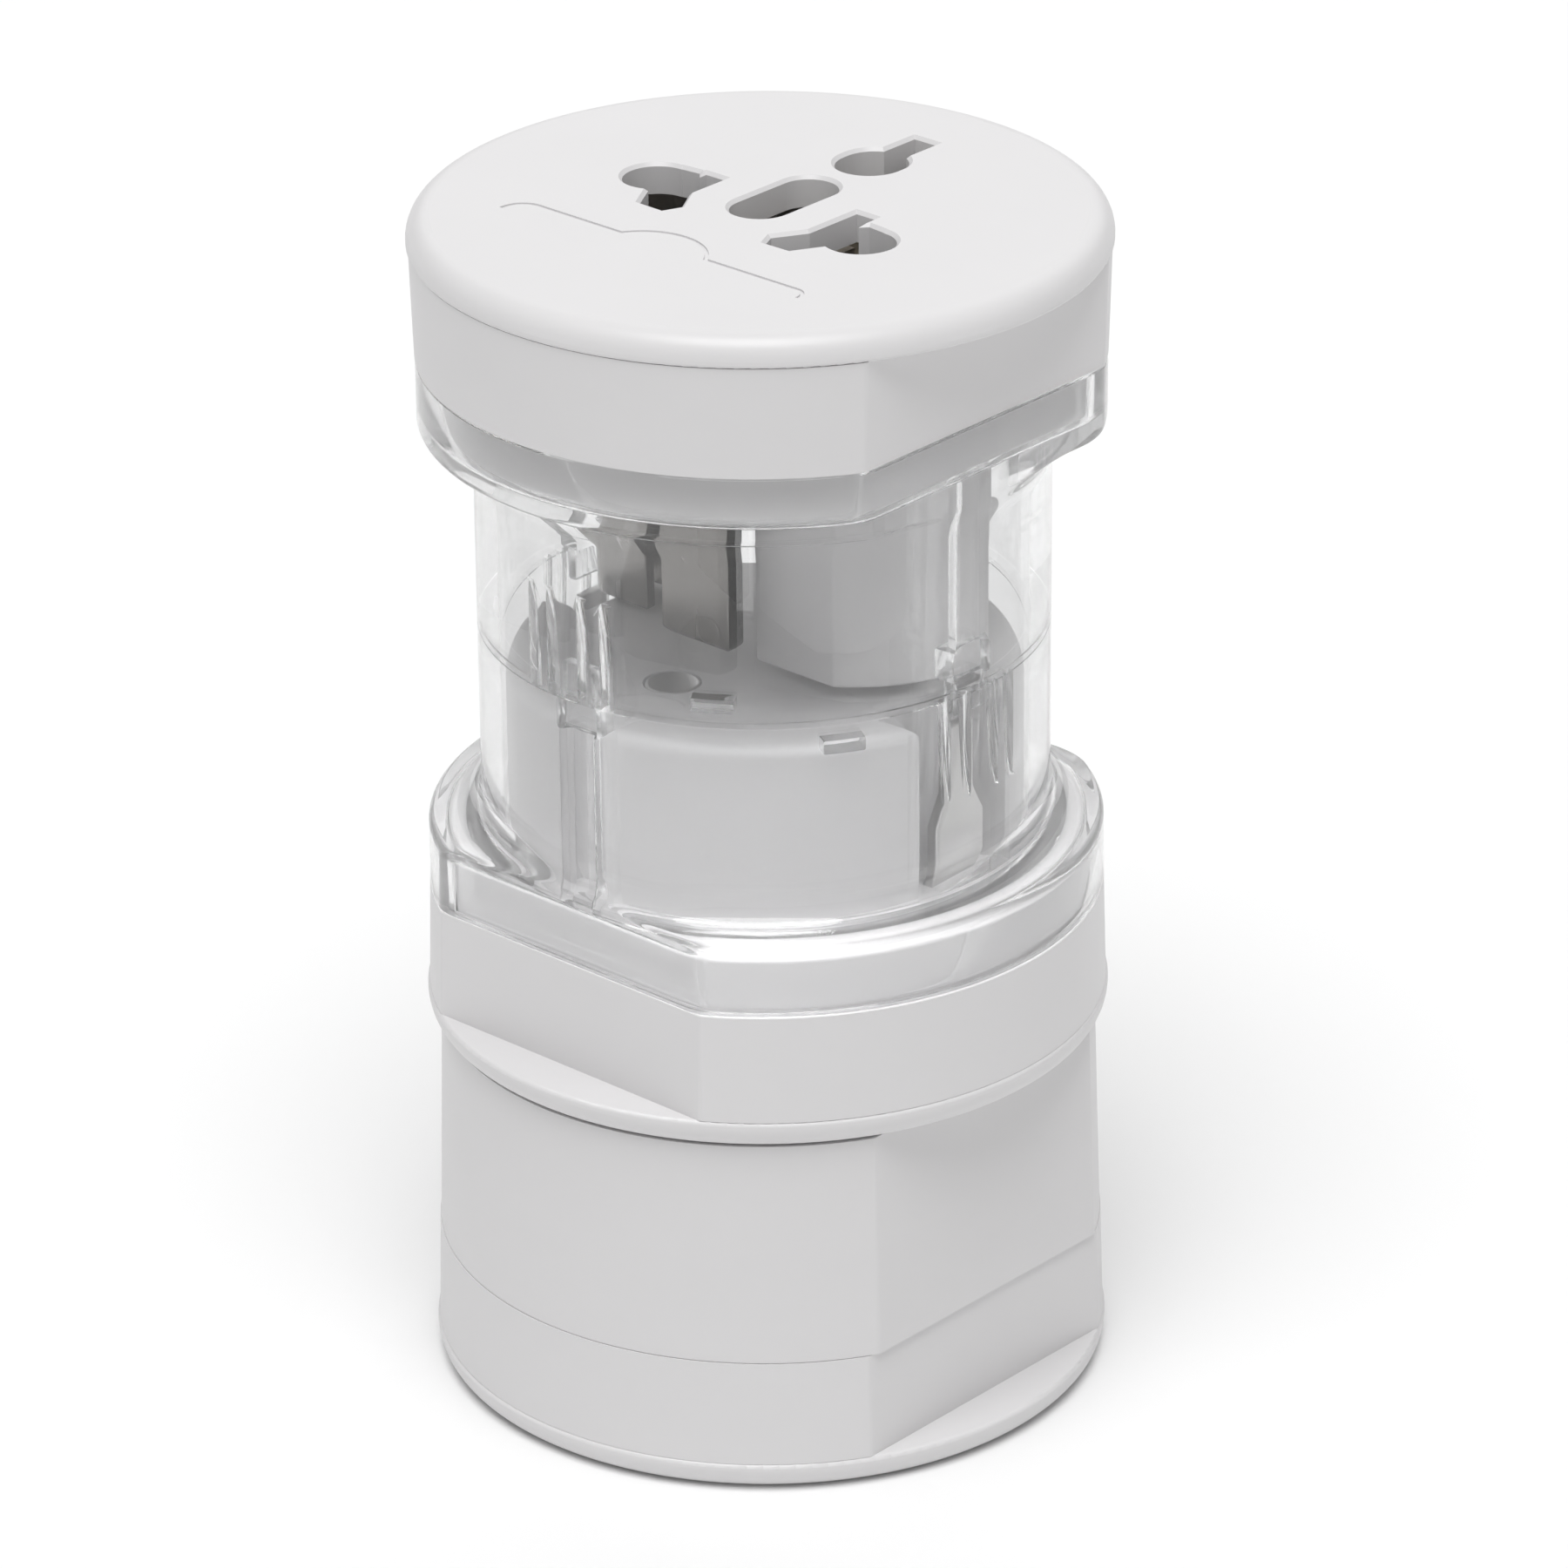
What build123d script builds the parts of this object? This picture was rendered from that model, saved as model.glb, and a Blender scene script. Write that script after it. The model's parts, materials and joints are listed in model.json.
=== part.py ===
from build123d import *
import math
import os

# Universal travel adapter: three pocket adapters stacked on one axis.
# Upper adapter: flat-blade plug. Middle adapter: round-pin plug, upside down.
# Lower adapter: slanted-blade plug, upside down under a white pin cover.
# A clear case in two identical halves joins the upper and middle adapters.
# Millimetres, +Z up, origin at the bottom centre.

# ---- driving dimensions ----
RIM_R = 24.5            # full round disc at each socket face
RIM_T = 2.2
RIM_FILLET = 1.7
WALL_R = 24.35          # cap wall where it meets the rim
FLAT = 20.9             # axis to each flat of a cap
DRAFT = 1.6             # degrees, on every cap wall
CORNER_R = 0.8          # rounding where a flat meets the round wall
CAP_H = 10.2
CAP_WALL = 1.5
FACE_T = 2.3            # thickness of a socket face
GAP = 0.05              # face gap between stacked bodies
COVER_H = 16.95
COVER_WALL = 1.4
CASE_H = 20.1           # one case half
SPIGOT_R = 22.4         # plug base outside, below the cap edge
SPIGOT_FLAT = 19.1
SPIGOT_H = 4.05
BASE_T = 2.0            # plug base floor
SKIRT = 1.3
SKIRT_H = 1.4           # plug base skirt inside the cap
TUBE_R = 20.26
TUBE_WALL = 1.55
FLANGE_R = 24.1
FLANGE_FLAT = 20.8
FLANGE_H = 5.1
FLANGE_WALL = 1.3
LEDGE_T = 1.0
LEDGE_FILLET = 2.8
BLADE_W = 6.35          # standard flat blade
BLADE_T = 1.6
US_PITCH = 12.7
AU_PITCH = 13.72
AU_SLANT = 30           # degrees
EURO_PITCH = 19.0
EURO_PIN_R = 2.0
EURO_PIN_LEN = 20.4
BLOCK_R = 18.35         # round-pin plug body
BLOCK_TOP = 14.0        # height above its base face
NOTCH_W = 8.6
NOTCH_DEPTH = 4.5
SHEET = 0.8             # contact strip thickness
SCREW_R = 1.1
SCREW_HEAD_R = 1.9
SCREW_SINK = 1.2         # depth of each counterbore
BOSS_R = 2.3
SCREW_SPOTS = [(-11.0, -13.5), (11.0, -13.5), (8.5, 14.4)]

# ---- openings of a socket face ----
ROUND_X = 9.5            # axis to each round pole hole
ROUND_R = 2.45
UPRIGHT_X = 6.5
UPRIGHT_W = 1.8
LIVE_SLOT_END = 3.75
NEUTRAL_SLOT_END = 2.6   # polarised: shorter than the live slot
SLOT_START = -3.6
CENTRE_R = 2.15
CENTRE_LEN = 5.0
KEY_Y = (11.4, 11.9)
KEY_SLOT_W = 2.1
KEY_END = 17.4
HOLE_CHAMFER = 0.25

# ---- decorative line on the upper face ----
LINE_Y = -9.8
LINE_W = 0.3
LINE_DEPTH = 0.14
BUMP_HALF = 3.9
BUMP_H = 2.2

# ---- heights of the stack ----
COVER_Z = CAP_H + GAP
MIDDLE_FACE_Z = COVER_Z + COVER_H + GAP
LOWER_HALF_Z = MIDDLE_FACE_Z + CAP_H + GAP
SEAM_LOW_Z = LOWER_HALF_Z + CASE_H
SEAM_HIGH_Z = SEAM_LOW_Z + GAP
UPPER_EDGE_Z = SEAM_HIGH_Z + CASE_H + GAP
TOP_Z = UPPER_EDGE_Z + CAP_H

# ---- local heights of one adapter, socket face at 0, body below ----
FACE_IN = -FACE_T
PLUG_FACE = -CAP_H - SPIGOT_H
FLOOR = PLUG_FACE + BASE_T

UPPER = Pos(0, 0, TOP_Z)
MIDDLE = Pos(0, 0, MIDDLE_FACE_Z) * Rot(0, 0, -90) * Rot(180, 0, 0)
LOWER = Rot(180, 0, 0)
HALF_TURN = Rot(0, 0, 180)


def slab(x0, x1, y0, y1, z0, z1):
    """Block between two corners."""
    centre = Pos((x0 + x1) / 2, (y0 + y1) / 2, (z0 + z1) / 2)
    return centre * Box(x1 - x0, y1 - y0, z1 - z0)


def plate(sketch, z0, z1):
    """A flat outline raised from z0 to z1."""
    return Pos(0, 0, z0) * extrude(sketch, amount=z1 - z0)


def disc_with_flats(radius, flat, corner=0.0):
    """Circle cut by two parallel flats at plus and minus X, corners rounded."""
    outline = Circle(radius) & Rectangle(2 * flat, 2.2 * radius)
    if corner:
        outline = fillet(outline.vertices(), corner)
    return outline


def pole_hole(top):
    """Merged opening of one pole: round pin, upright blade and slanted blade."""
    round_pin = Pos(ROUND_X, -0.2) * Circle(ROUND_R)
    upright = Pos(UPRIGHT_X, (top + SLOT_START) / 2) * Rectangle(UPRIGHT_W, top - SLOT_START)
    front = [(4.2, -3.5), (4.75, -4.75), (7.0, -4.7)]
    back = [(9.9, 0.4), (9.4, 2.3), (7.9, 2.45), (7.3, 1.8)]
    slanted = make_face(Polyline(*front, *back, front[0]))
    return round_pin + upright + slanted


def oblong(x, y0, y1, radius):
    """Slot with round ends along Y."""
    body = Pos(x, (y0 + y1) / 2) * Rectangle(2 * radius, y1 - y0)
    return body + Pos(x, y0) * Circle(radius) + Pos(x, y1) * Circle(radius)


def socket_pattern():
    """All openings of a socket face."""
    neutral = mirror(pole_hole(NEUTRAL_SLOT_END), about=Plane.YZ)
    key_slot = Pos(0, (KEY_Y[0] + KEY_END) / 2) * Rectangle(KEY_SLOT_W, KEY_END - KEY_Y[0])
    key = oblong(0, *KEY_Y, ROUND_R) + key_slot
    return pole_hole(LIVE_SLOT_END) + neutral + oblong(0, 0, CENTRE_LEN, CENTRE_R) + key


def cap_shell():
    """Socket cap: full round rim over a drafted wall with two flats, hollow below."""
    wall = extrude(disc_with_flats(WALL_R, FLAT, CORNER_R), amount=-(CAP_H - RIM_T), taper=DRAFT)
    rim = Pos(0, 0, -RIM_T / 2) * Cylinder(RIM_R, RIM_T)
    rim = fillet(rim.edges().group_by(Axis.Z)[-1], RIM_FILLET)
    rim = fillet(rim.edges().group_by(Axis.Z)[0], 0.3)
    inner = disc_with_flats(WALL_R - CAP_WALL, FLAT - CAP_WALL, CORNER_R)
    hollow = extrude(inner, amount=-(CAP_H - FACE_T), taper=DRAFT)
    shell = rim + Pos(0, 0, -RIM_T) * wall - Pos(0, 0, FACE_IN) * hollow
    shell -= plate(socket_pattern(), -FACE_T - 1, 1)
    inside = [e for e in shell.edges().filter_by_position(Axis.Z, -0.001, 0.001)
              if e.bounding_box().size.X < 2 * (RIM_R - RIM_FILLET) - 1]
    return chamfer(inside, HOLE_CHAMFER)


def face_groove():
    """Fine decorative line engraved across the upper socket face."""
    y = LINE_Y
    left, right = -11.4, 12.0
    path = Line((left, y), (-BUMP_HALF, y))
    path += ThreePointArc((-BUMP_HALF, y), (0, y + BUMP_H), (BUMP_HALF, y))
    path += Line((BUMP_HALF, y), (right, y))
    path += ThreePointArc((right, y), (right + 1.0, y - 0.3), (right + 1.3, y - 1.2))
    path += ThreePointArc((left, y), (left - 1.5, y - 0.5), (left - 2.0, y - 2.0))
    line = trace(path, line_width=LINE_W)
    return plate(line, -LINE_DEPTH, 0.5)


def bosses():
    """Screw pillars that stand down from a socket face, with pilot holes."""
    solid = Sketch() + [Pos(x, y) * Circle(BOSS_R) for x, y in SCREW_SPOTS]
    pilot = Sketch() + [Pos(x, y) * Circle(SCREW_R) for x, y in SCREW_SPOTS]
    return plate(solid, FLOOR, FACE_IN) - plate(pilot, FLOOR - 1, FACE_IN - 1.5)


def screws():
    """Pan-head screws driven up from the plug face, heads in counterbores."""
    cross = Rectangle(SCREW_HEAD_R, 0.45) + Rectangle(0.45, SCREW_HEAD_R)
    top = PLUG_FACE + SCREW_SINK
    found = []
    for x, y in SCREW_SPOTS:
        shank = plate(Circle(SCREW_R), top, FACE_IN - 1.6)
        head = plate(Circle(SCREW_HEAD_R), PLUG_FACE + 0.15, top)
        screw = shank + head - plate(cross, PLUG_FACE + 0.15, PLUG_FACE + 0.7)
        found.append(Pos(x, y, 0) * screw)
    return found


def plug_base(slots, with_screws=True):
    """Floor and skirt that close a cap; slots is the outline left open for pins."""
    outer = disc_with_flats(SPIGOT_R, SPIGOT_FLAT, CORNER_R)
    inner = disc_with_flats(SPIGOT_R - SKIRT, SPIGOT_FLAT - SKIRT, CORNER_R)
    base = plate(outer, PLUG_FACE, -CAP_H + SKIRT_H)
    base = fillet(base.edges().group_by(Axis.Z)[0], 0.5)
    base -= plate(inner, FLOOR, 0)
    base -= plate(slots, PLUG_FACE - 1, FLOOR + 1)
    if with_screws:
        for x, y in SCREW_SPOTS:
            base -= Pos(x, y, 0) * plate(Circle(SCREW_R), PLUG_FACE - 1, FLOOR + 1)
            base -= Pos(x, y, 0) * plate(Circle(SCREW_HEAD_R), PLUG_FACE - 1, PLUG_FACE + SCREW_SINK)
    return base


def blade(outline, length, top):
    """Flat pin from its embedded head down to a chamfered tip."""
    tip = PLUG_FACE - length
    pin = plate(outline, tip, top)
    return chamfer(pin.edges().group_by(Axis.Z)[0], 0.45)


CHANNEL_X = (5.0, 12.6)     # spring channel under a pole hole
CHANNEL_Y = (-2.8, 3.0)
CHANNEL_H = 5.2
MOUTH_H = 0.8
BLADE_HOLD = 3.0            # half length of the tab against a blade
STRIP_EDGE = -10.4          # outer edge of a contact strip


def pole_contact():
    """Brass strip from a blade head at -Y round to a spring channel at +X."""
    z0 = FLOOR
    left, right = CHANNEL_X
    front, back = CHANNEL_Y
    blade_side = -(US_PITCH + BLADE_T) / 2
    foot = slab(-BLADE_HOLD, right, STRIP_EDGE, blade_side, z0, z0 + SHEET)
    run = slab(left, right, STRIP_EDGE, back, z0, z0 + SHEET)
    tab = slab(-BLADE_HOLD, BLADE_HOLD, blade_side - SHEET, blade_side, z0, z0 + 1.8)
    strip = foot + run + tab
    for x, flare in ((left, -0.3), (right - SHEET, 0.3)):
        strip += slab(x, x + SHEET, front, back, z0, z0 + CHANNEL_H)
        mouth = slab(x, x + SHEET, front, back, z0 + CHANNEL_H, z0 + CHANNEL_H + MOUTH_H)
        strip += Pos(flare, 0, 0) * mouth
    return strip


EARTH_DECK_W = 6.4          # earth strip under the centre hole and keyhole
EARTH_DECK_H = 3.6
EARTH_RUN_Y = (11.2, 13.2)
CENTRE_LEAF_Y = (-1.0, 6.2)
KEY_LEAF_Y = 9.4


def earth_leaves(sheet, end, z0, z1):
    """Pairs of spring leaves beside the centre hole and beside the keyhole."""
    half = EARTH_DECK_W / 2
    leaves = []
    for y0, y1 in (CENTRE_LEAF_Y, (KEY_LEAF_Y, end)):
        leaves.append(slab(-half, -half + sheet, y0, y1, z0, z1))
        leaves.append(slab(half - sheet, half, y0, y1, z0, z1))
    return Part() + leaves


def earth_contact(shank_x):
    """Brass strip from the earth pin, round the neutral strip, to the keyhole and centre hole."""
    z0 = FLOOR
    deck_top = z0 + EARTH_DECK_H
    near, far = EARTH_RUN_Y
    half = EARTH_DECK_W / 2
    low = slab(shank_x, -13.4, -1.4, far, z0, z0 + SHEET)
    low += slab(-15.6, half, near, far, z0, z0 + SHEET)
    riser = slab(-half, -half + SHEET, near, far, z0, deck_top)
    deck = slab(-half, half, -1.6, 16.6, deck_top - SHEET, deck_top)
    return low + riser + deck + earth_leaves(0.65, 16.6, deck_top, z0 + 8.2)


# ---- upper adapter: two upright blades and a folded earth pin ----
EARTH_X = -13.2
EARTH_R = 2.4
EARTH_WALL = 0.9
US_LENGTH = 16.1
US_EARTH_LENGTH = 17.8


def upper_parts():
    us_blade = Rectangle(BLADE_W, BLADE_T)
    live = Pos(0, -US_PITCH / 2) * us_blade
    neutral = Pos(0, US_PITCH / 2) * us_blade
    bore = EARTH_R - EARTH_WALL
    shell = Pos(EARTH_X, 0) * Circle(EARTH_R) + Pos(EARTH_X + 2, 0) * Rectangle(4, 2 * EARTH_R)
    core = Pos(EARTH_X, 0) * Circle(bore) + Pos(EARTH_X + 2.1, 0) * Rectangle(4.2, 2 * bore)
    ground = shell - core
    return {
        "upper_socket_cap": cap_shell() - face_groove() + bosses(),
        "upper_plug_base": plug_base(live + neutral + ground),
        "upper_blade_live": blade(live, US_LENGTH, FLOOR + 1.6),
        "upper_blade_neutral": blade(neutral, US_LENGTH, FLOOR + 1.6),
        "upper_ground_pin": plate(ground, PLUG_FACE - US_EARTH_LENGTH, FLOOR),
        "upper_live_contact": pole_contact(),
        "upper_neutral_contact": HALF_TURN * pole_contact(),
        "upper_earth_contact": earth_contact(-15.5),
        "upper_stacking_block": stacking_block(),
        "upper_screws": screws(),
    }


def stacking_block():
    """Solid white block beside the blades, flat to the front and rounded at the side."""
    length = 17.3
    left, front, back = 3.4, -4.6, 7.2
    arc_a = ThreePointArc((10.5, front), (13.9, -1.0), (15.5, 4.0))
    arc_b = ThreePointArc((15.5, 4.0), (15.2, 6.2), (13.5, back))
    rest = Polyline((13.5, back), (left, back), (left, front), (10.5, front))
    body = plate(make_face(arc_a + arc_b + rest), PLUG_FACE - length, PLUG_FACE)
    return fillet(body.edges().group_by(Axis.Z)[0], 0.3)


# ---- middle adapter: round-pin plug body with side earth clips ----
CAVITY_X = 12.4
CAVITY_Y = 12.2
BLOCK_END = PLUG_FACE - BLOCK_TOP
CARRIER_Z = -9.45
KEYWAY_W = 4.0
KEYWAY_R = 16.4
CLIP_Y = 17.3               # axis to the middle of each earth clip
CLIP_W = 4.8
CLIP_TIP_W = 2.6
CLIP_SHOULDER = (5.6, 7.8)  # where the clip narrows, above the plug face
CLIP_LENGTH = 12.9
DECK_Z = CARRIER_Z + 2.0
DECK_T = 0.6


def block_outline():
    """Round plug body with a clip notch on each Y side and a keyway on each X side."""
    outline = Circle(BLOCK_R)
    for side in (-1, 1):
        outline -= Pos(0, side * (BLOCK_R + 3 - NOTCH_DEPTH / 2 - 1.5)) * Rectangle(NOTCH_W, NOTCH_DEPTH + 3)
        outline -= Pos(side * (KEYWAY_R + 3), 0) * Rectangle(6, KEYWAY_W)
    return outline


def middle_plug_body():
    """Base floor, skirt and hollow plug body in one moulding."""
    euro = Pos(-EURO_PITCH / 2, 0) * Circle(EURO_PIN_R + 0.06)
    euro += Pos(EURO_PITCH / 2, 0) * Circle(EURO_PIN_R + 0.06)
    clips = Sketch() + [Pos(0, side * CLIP_Y) * Rectangle(CLIP_W, SHEET) for side in (-1, 1)]
    cavity = Rectangle(2 * CAVITY_Y + 1.2, 2 * CAVITY_X - 2)
    cavity = fillet(cavity.vertices(), 2.0)
    body = plug_base(clips, with_screws=False)
    block = plate(block_outline(), BLOCK_END, PLUG_FACE)
    block = fillet(block.edges().group_by(Axis.Z)[0], 0.9)
    body += block
    body -= plate(cavity, BLOCK_END + 1.8, FLOOR + 1)
    body -= plate(euro, BLOCK_END - 1, FLOOR)
    return body


def earth_clip(side):
    """Springy earth strip in a side notch, narrower towards its free end."""
    wide, narrow = CLIP_W / 2, CLIP_TIP_W / 2
    root = DECK_Z + DECK_T
    low, high = (PLUG_FACE - rise for rise in CLIP_SHOULDER)
    end = PLUG_FACE - CLIP_LENGTH
    right = [(wide, root), (wide, low), (narrow, high), (narrow, end)]
    left = [(-x, z) for x, z in reversed(right)]
    outline = make_face(Polyline(*right, *left, right[0]))
    clip = Pos(0, CLIP_Y, 0) * extrude(Plane.XZ * outline, amount=SHEET / 2, both=True)
    return clip if side > 0 else HALF_TURN * clip


def euro_pin(side):
    """Round pin with a flat rounded tip, root held in the carrier."""
    tip = BLOCK_END
    pin = plate(Circle(EURO_PIN_R), tip, tip + EURO_PIN_LEN)
    pin = fillet(pin.edges().group_by(Axis.Z)[0], 0.35)
    return Pos(side * EURO_PITCH / 2, 0, 0) * pin


def euro_pin_carrier():
    """Insulating bridge that holds both round pins and slides in the plug body."""
    bar = plate(fillet(Rectangle(24.0, 7.0).vertices(), 1.5), CARRIER_Z, CARRIER_Z + 1.6)
    rib = plate(Rectangle(12.0, 2.0), CARRIER_Z + 1.6, CARRIER_Z + 1.8)
    holes = Pos(-EURO_PITCH / 2, 0) * Circle(EURO_PIN_R) + Pos(EURO_PITCH / 2, 0) * Circle(EURO_PIN_R)
    return bar + rib - plate(holes, CARRIER_Z - 1, CARRIER_Z + 3)


def middle_pole_contact():
    """Brass strip along one pin's travel, folded to a spring channel under the socket hole."""
    x = EURO_PITCH / 2 + EURO_PIN_R + 0.55
    end = x + 0.6
    low, high = -7.0, -4.7
    inner, outer = 2.9, 3.9
    strip = slab(x, end, -EURO_PIN_R, EURO_PIN_R, PLUG_FACE - 11.5, high)
    strip += slab(x, end, -outer, outer, low, high)
    for y0, y1 in ((-outer, -inner), (inner, outer)):
        strip += slab(CHANNEL_X[0], end, y0, y1, low, high)
    return strip


def middle_earth_contact():
    """Brass strip joining both earth clips under the keyhole and centre hole."""
    reach = CLIP_Y - SHEET / 2
    half = EARTH_DECK_W / 2
    deck = slab(-half, half, -reach, reach, DECK_Z, DECK_Z + DECK_T)
    return deck + earth_leaves(0.9, 14.1, DECK_Z + DECK_T, -4.0)


def middle_parts():
    return {
        "middle_socket_cap": cap_shell(),
        "middle_plug_body": middle_plug_body(),
        "middle_earth_clip_right": earth_clip(-1),
        "middle_earth_clip_left": earth_clip(1),
        "euro_pin_live": euro_pin(1),
        "euro_pin_neutral": euro_pin(-1),
        "euro_pin_carrier": euro_pin_carrier(),
        "middle_live_contact": middle_pole_contact(),
        "middle_neutral_contact": HALF_TURN * middle_pole_contact(),
        "middle_earth_contact": middle_earth_contact(),
    }


# ---- lower adapter: slanted blades under a pin cover ----
AU_X = 0.95
AU_EARTH_X = -13.32
AU_LENGTH = 17.0


def au_outline(grow=0.0):
    """Outlines of the live, neutral and earth blades."""
    flat_pin = Rectangle(BLADE_W + grow, BLADE_T + grow)
    live = Pos(AU_X, -AU_PITCH / 2) * Rot(0, 0, AU_SLANT) * flat_pin
    neutral = Pos(AU_X, AU_PITCH / 2) * Rot(0, 0, -AU_SLANT) * flat_pin
    earth = Pos(AU_EARTH_X, 0) * flat_pin
    return live, neutral, earth


def lower_parts():
    live, neutral, earth = au_outline()
    return {
        "lower_socket_cap": cap_shell() + bosses(),
        "lower_plug_base": plug_base(live + neutral + earth),
        "lower_blade_live": blade(live, AU_LENGTH, FLOOR),
        "lower_blade_neutral": blade(neutral, AU_LENGTH, FLOOR),
        "lower_blade_earth": blade(earth, AU_LENGTH, FLOOR),
        "lower_live_contact": pole_contact(),
        "lower_neutral_contact": HALF_TURN * pole_contact(),
        "lower_earth_contact": earth_contact(-15.6),
        "lower_screws": screws(),
    }


def pin_cover():
    """White cover over the slanted blades; it widens slightly towards the cap."""
    outer = extrude(disc_with_flats(WALL_R - 0.3, 21.0, CORNER_R), amount=COVER_H, taper=DRAFT)
    inner = disc_with_flats(SPIGOT_R + 0.3, SPIGOT_FLAT + 0.3, CORNER_R)
    cover = outer - plate(inner, -1, SPIGOT_H + 1)
    room = disc_with_flats(SPIGOT_R - 0.2, SPIGOT_FLAT, CORNER_R)
    cover -= plate(room, 0, COVER_H - COVER_WALL)
    live, neutral, earth = au_outline(grow=0.5)
    cover -= plate(live + neutral + earth, COVER_H - 3, COVER_H + 1)
    return Pos(0, 0, COVER_Z) * cover


# ---- clear case half: seam at 0, flange above ----
GROOVE_SPACING = (-3.4, -1.45, 1.45, 3.4)
GROOVE_LEN = 8.0
GROOVE_DEPTH = 1.1
GROOVE_W = 0.8
FINGER_W = 3.0
FINGER_R = 17.5
TONGUE = 2.2
LIP = 0.3
WINDOW_ANGLES = (-58, 122)


def grip_groove():
    """One crescent finger groove in the -Y side, deepest at the seam."""
    outside = TUBE_R + 0.5
    deep = TUBE_R - GROOVE_DEPTH
    middle = (TUBE_R - 0.75 * GROOVE_DEPTH, GROOVE_LEN / 2)
    curve = ThreePointArc((TUBE_R, GROOVE_LEN), middle, (deep, 0))
    rest = Polyline((deep, 0), (deep, -1), (outside, -1), (outside, GROOVE_LEN), (TUBE_R, GROOVE_LEN))
    return extrude(Plane.XZ * make_face(curve + rest), amount=GROOVE_W / 2, both=True)


def latch_finger():
    """Inner rib on the +X side that reaches past the seam, with its catch block."""
    bore = TUBE_R - TUBE_WALL
    length = CASE_H - FLANGE_H + LEDGE_T
    finger = slab(FINGER_R, bore + 0.4, -FINGER_W / 2, FINGER_W / 2, 0, length)
    tongue = slab(FINGER_R, bore - 0.35, -FINGER_W / 2, FINGER_W / 2, -TONGUE, 0.2)
    catch_y = FINGER_W / 2 + 0.3
    catch = slab(FINGER_R - 0.6, bore + 0.4, -catch_y, catch_y, 0.5, 2.9)
    return finger + tongue + catch


def case_solid(ledge):
    """Outside of one half, turned from its profile: tube, sweep and flange, no bore yet."""
    start = ledge - LEDGE_FILLET
    foot = TUBE_R + LEDGE_FILLET
    rise = LEDGE_FILLET * (1 - math.sqrt(0.5))
    wall = Polyline((0, 0), (TUBE_R, 0), (TUBE_R, start))
    sweep = ThreePointArc((TUBE_R, start), (TUBE_R + rise, ledge - rise), (foot, ledge))
    under = [(foot, ledge), (FLANGE_R - LIP, ledge), (FLANGE_R, ledge + LIP)]
    rest = Polyline(*under, (FLANGE_R, CASE_H), (0, CASE_H), (0, 0))
    return revolve(Plane.XZ * make_face(wall + sweep + rest), Axis.Z)


def case_half():
    """Flanged clear tube: nests over a plug base and meets its twin at the seam."""
    bore = TUBE_R - TUBE_WALL
    ledge = CASE_H - FLANGE_H
    solid = case_solid(ledge) & Box(2 * FLANGE_FLAT, 3 * FLANGE_R, 3 * CASE_H)
    pocket = disc_with_flats(FLANGE_R - FLANGE_WALL, FLANGE_FLAT - FLANGE_WALL, CORNER_R)
    half = solid - plate(pocket, ledge + LEDGE_T, CASE_H + 1) - plate(Circle(bore), -1, CASE_H)
    for turn in (0, 180):
        half += Rot(0, 0, turn) * latch_finger()
        for offset in GROOVE_SPACING:
            angle = math.degrees(offset / TUBE_R) - 90 + turn
            half -= Rot(0, 0, angle) * grip_groove()
    for angle in WINDOW_ANGLES:
        half -= Rot(0, 0, angle) * slab(bore - 1, TUBE_R + 1, -1.5, 1.5, 1.1, 2.1)
    return half


def case_parts():
    half = case_half()
    diagonal = Axis((0, 0, 0), (1, -1, 0))
    return {
        "case_upper_half": Pos(0, 0, SEAM_HIGH_Z) * half,
        "case_lower_half": Pos(0, 0, SEAM_LOW_Z) * half.rotate(diagonal, 180),
    }


def write(name, shape, place):
    """Write one node, a single solid or a group of separate ones."""
    placed = [place * solid for solid in shape] if isinstance(shape, list) else place * shape
    if isinstance(placed, list):
        placed = Compound(children=placed)
    export_step(placed, os.path.join("parts", name + ".step"))


os.makedirs("parts", exist_ok=True)
groups = [
    (upper_parts(), UPPER),
    (middle_parts(), MIDDLE),
    (lower_parts(), LOWER),
    (case_parts(), Pos(0, 0, 0)),
    ({"pin_cover": pin_cover()}, Pos(0, 0, 0)),
]
for nodes, place in groups:
    for name, shape in nodes.items():
        write(name, shape, place)
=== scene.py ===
"""Looks of a universal travel adapter: white socket caps, plated pins and a clear case in two halves."""
import json
import math

import bmesh
import bpy
from mathutils import Matrix, Vector


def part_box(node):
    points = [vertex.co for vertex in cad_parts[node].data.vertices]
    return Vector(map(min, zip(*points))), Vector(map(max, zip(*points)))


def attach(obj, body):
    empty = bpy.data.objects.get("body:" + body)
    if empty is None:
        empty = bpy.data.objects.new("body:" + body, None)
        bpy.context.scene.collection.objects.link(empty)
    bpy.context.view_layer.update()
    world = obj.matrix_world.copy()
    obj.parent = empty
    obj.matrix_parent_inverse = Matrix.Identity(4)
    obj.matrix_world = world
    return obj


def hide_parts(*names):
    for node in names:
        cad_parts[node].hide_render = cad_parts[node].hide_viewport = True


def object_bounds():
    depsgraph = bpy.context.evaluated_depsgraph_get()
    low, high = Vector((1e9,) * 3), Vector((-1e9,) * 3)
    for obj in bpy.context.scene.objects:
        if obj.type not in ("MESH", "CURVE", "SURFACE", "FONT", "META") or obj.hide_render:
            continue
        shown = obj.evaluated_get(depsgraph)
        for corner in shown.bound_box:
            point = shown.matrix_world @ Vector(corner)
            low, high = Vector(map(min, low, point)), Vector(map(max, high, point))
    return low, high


bl_info = {
    "name": "Travel Adapter Looks",
    "version": (1, 0, 0),
    "blender": (4, 5, 0),
    "location": "View3D > Sidebar > Adapter",
    "description": "Builds the clear case, socket caps, pins and finishes around the packed adapter",
    "category": "Object",
}

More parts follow.
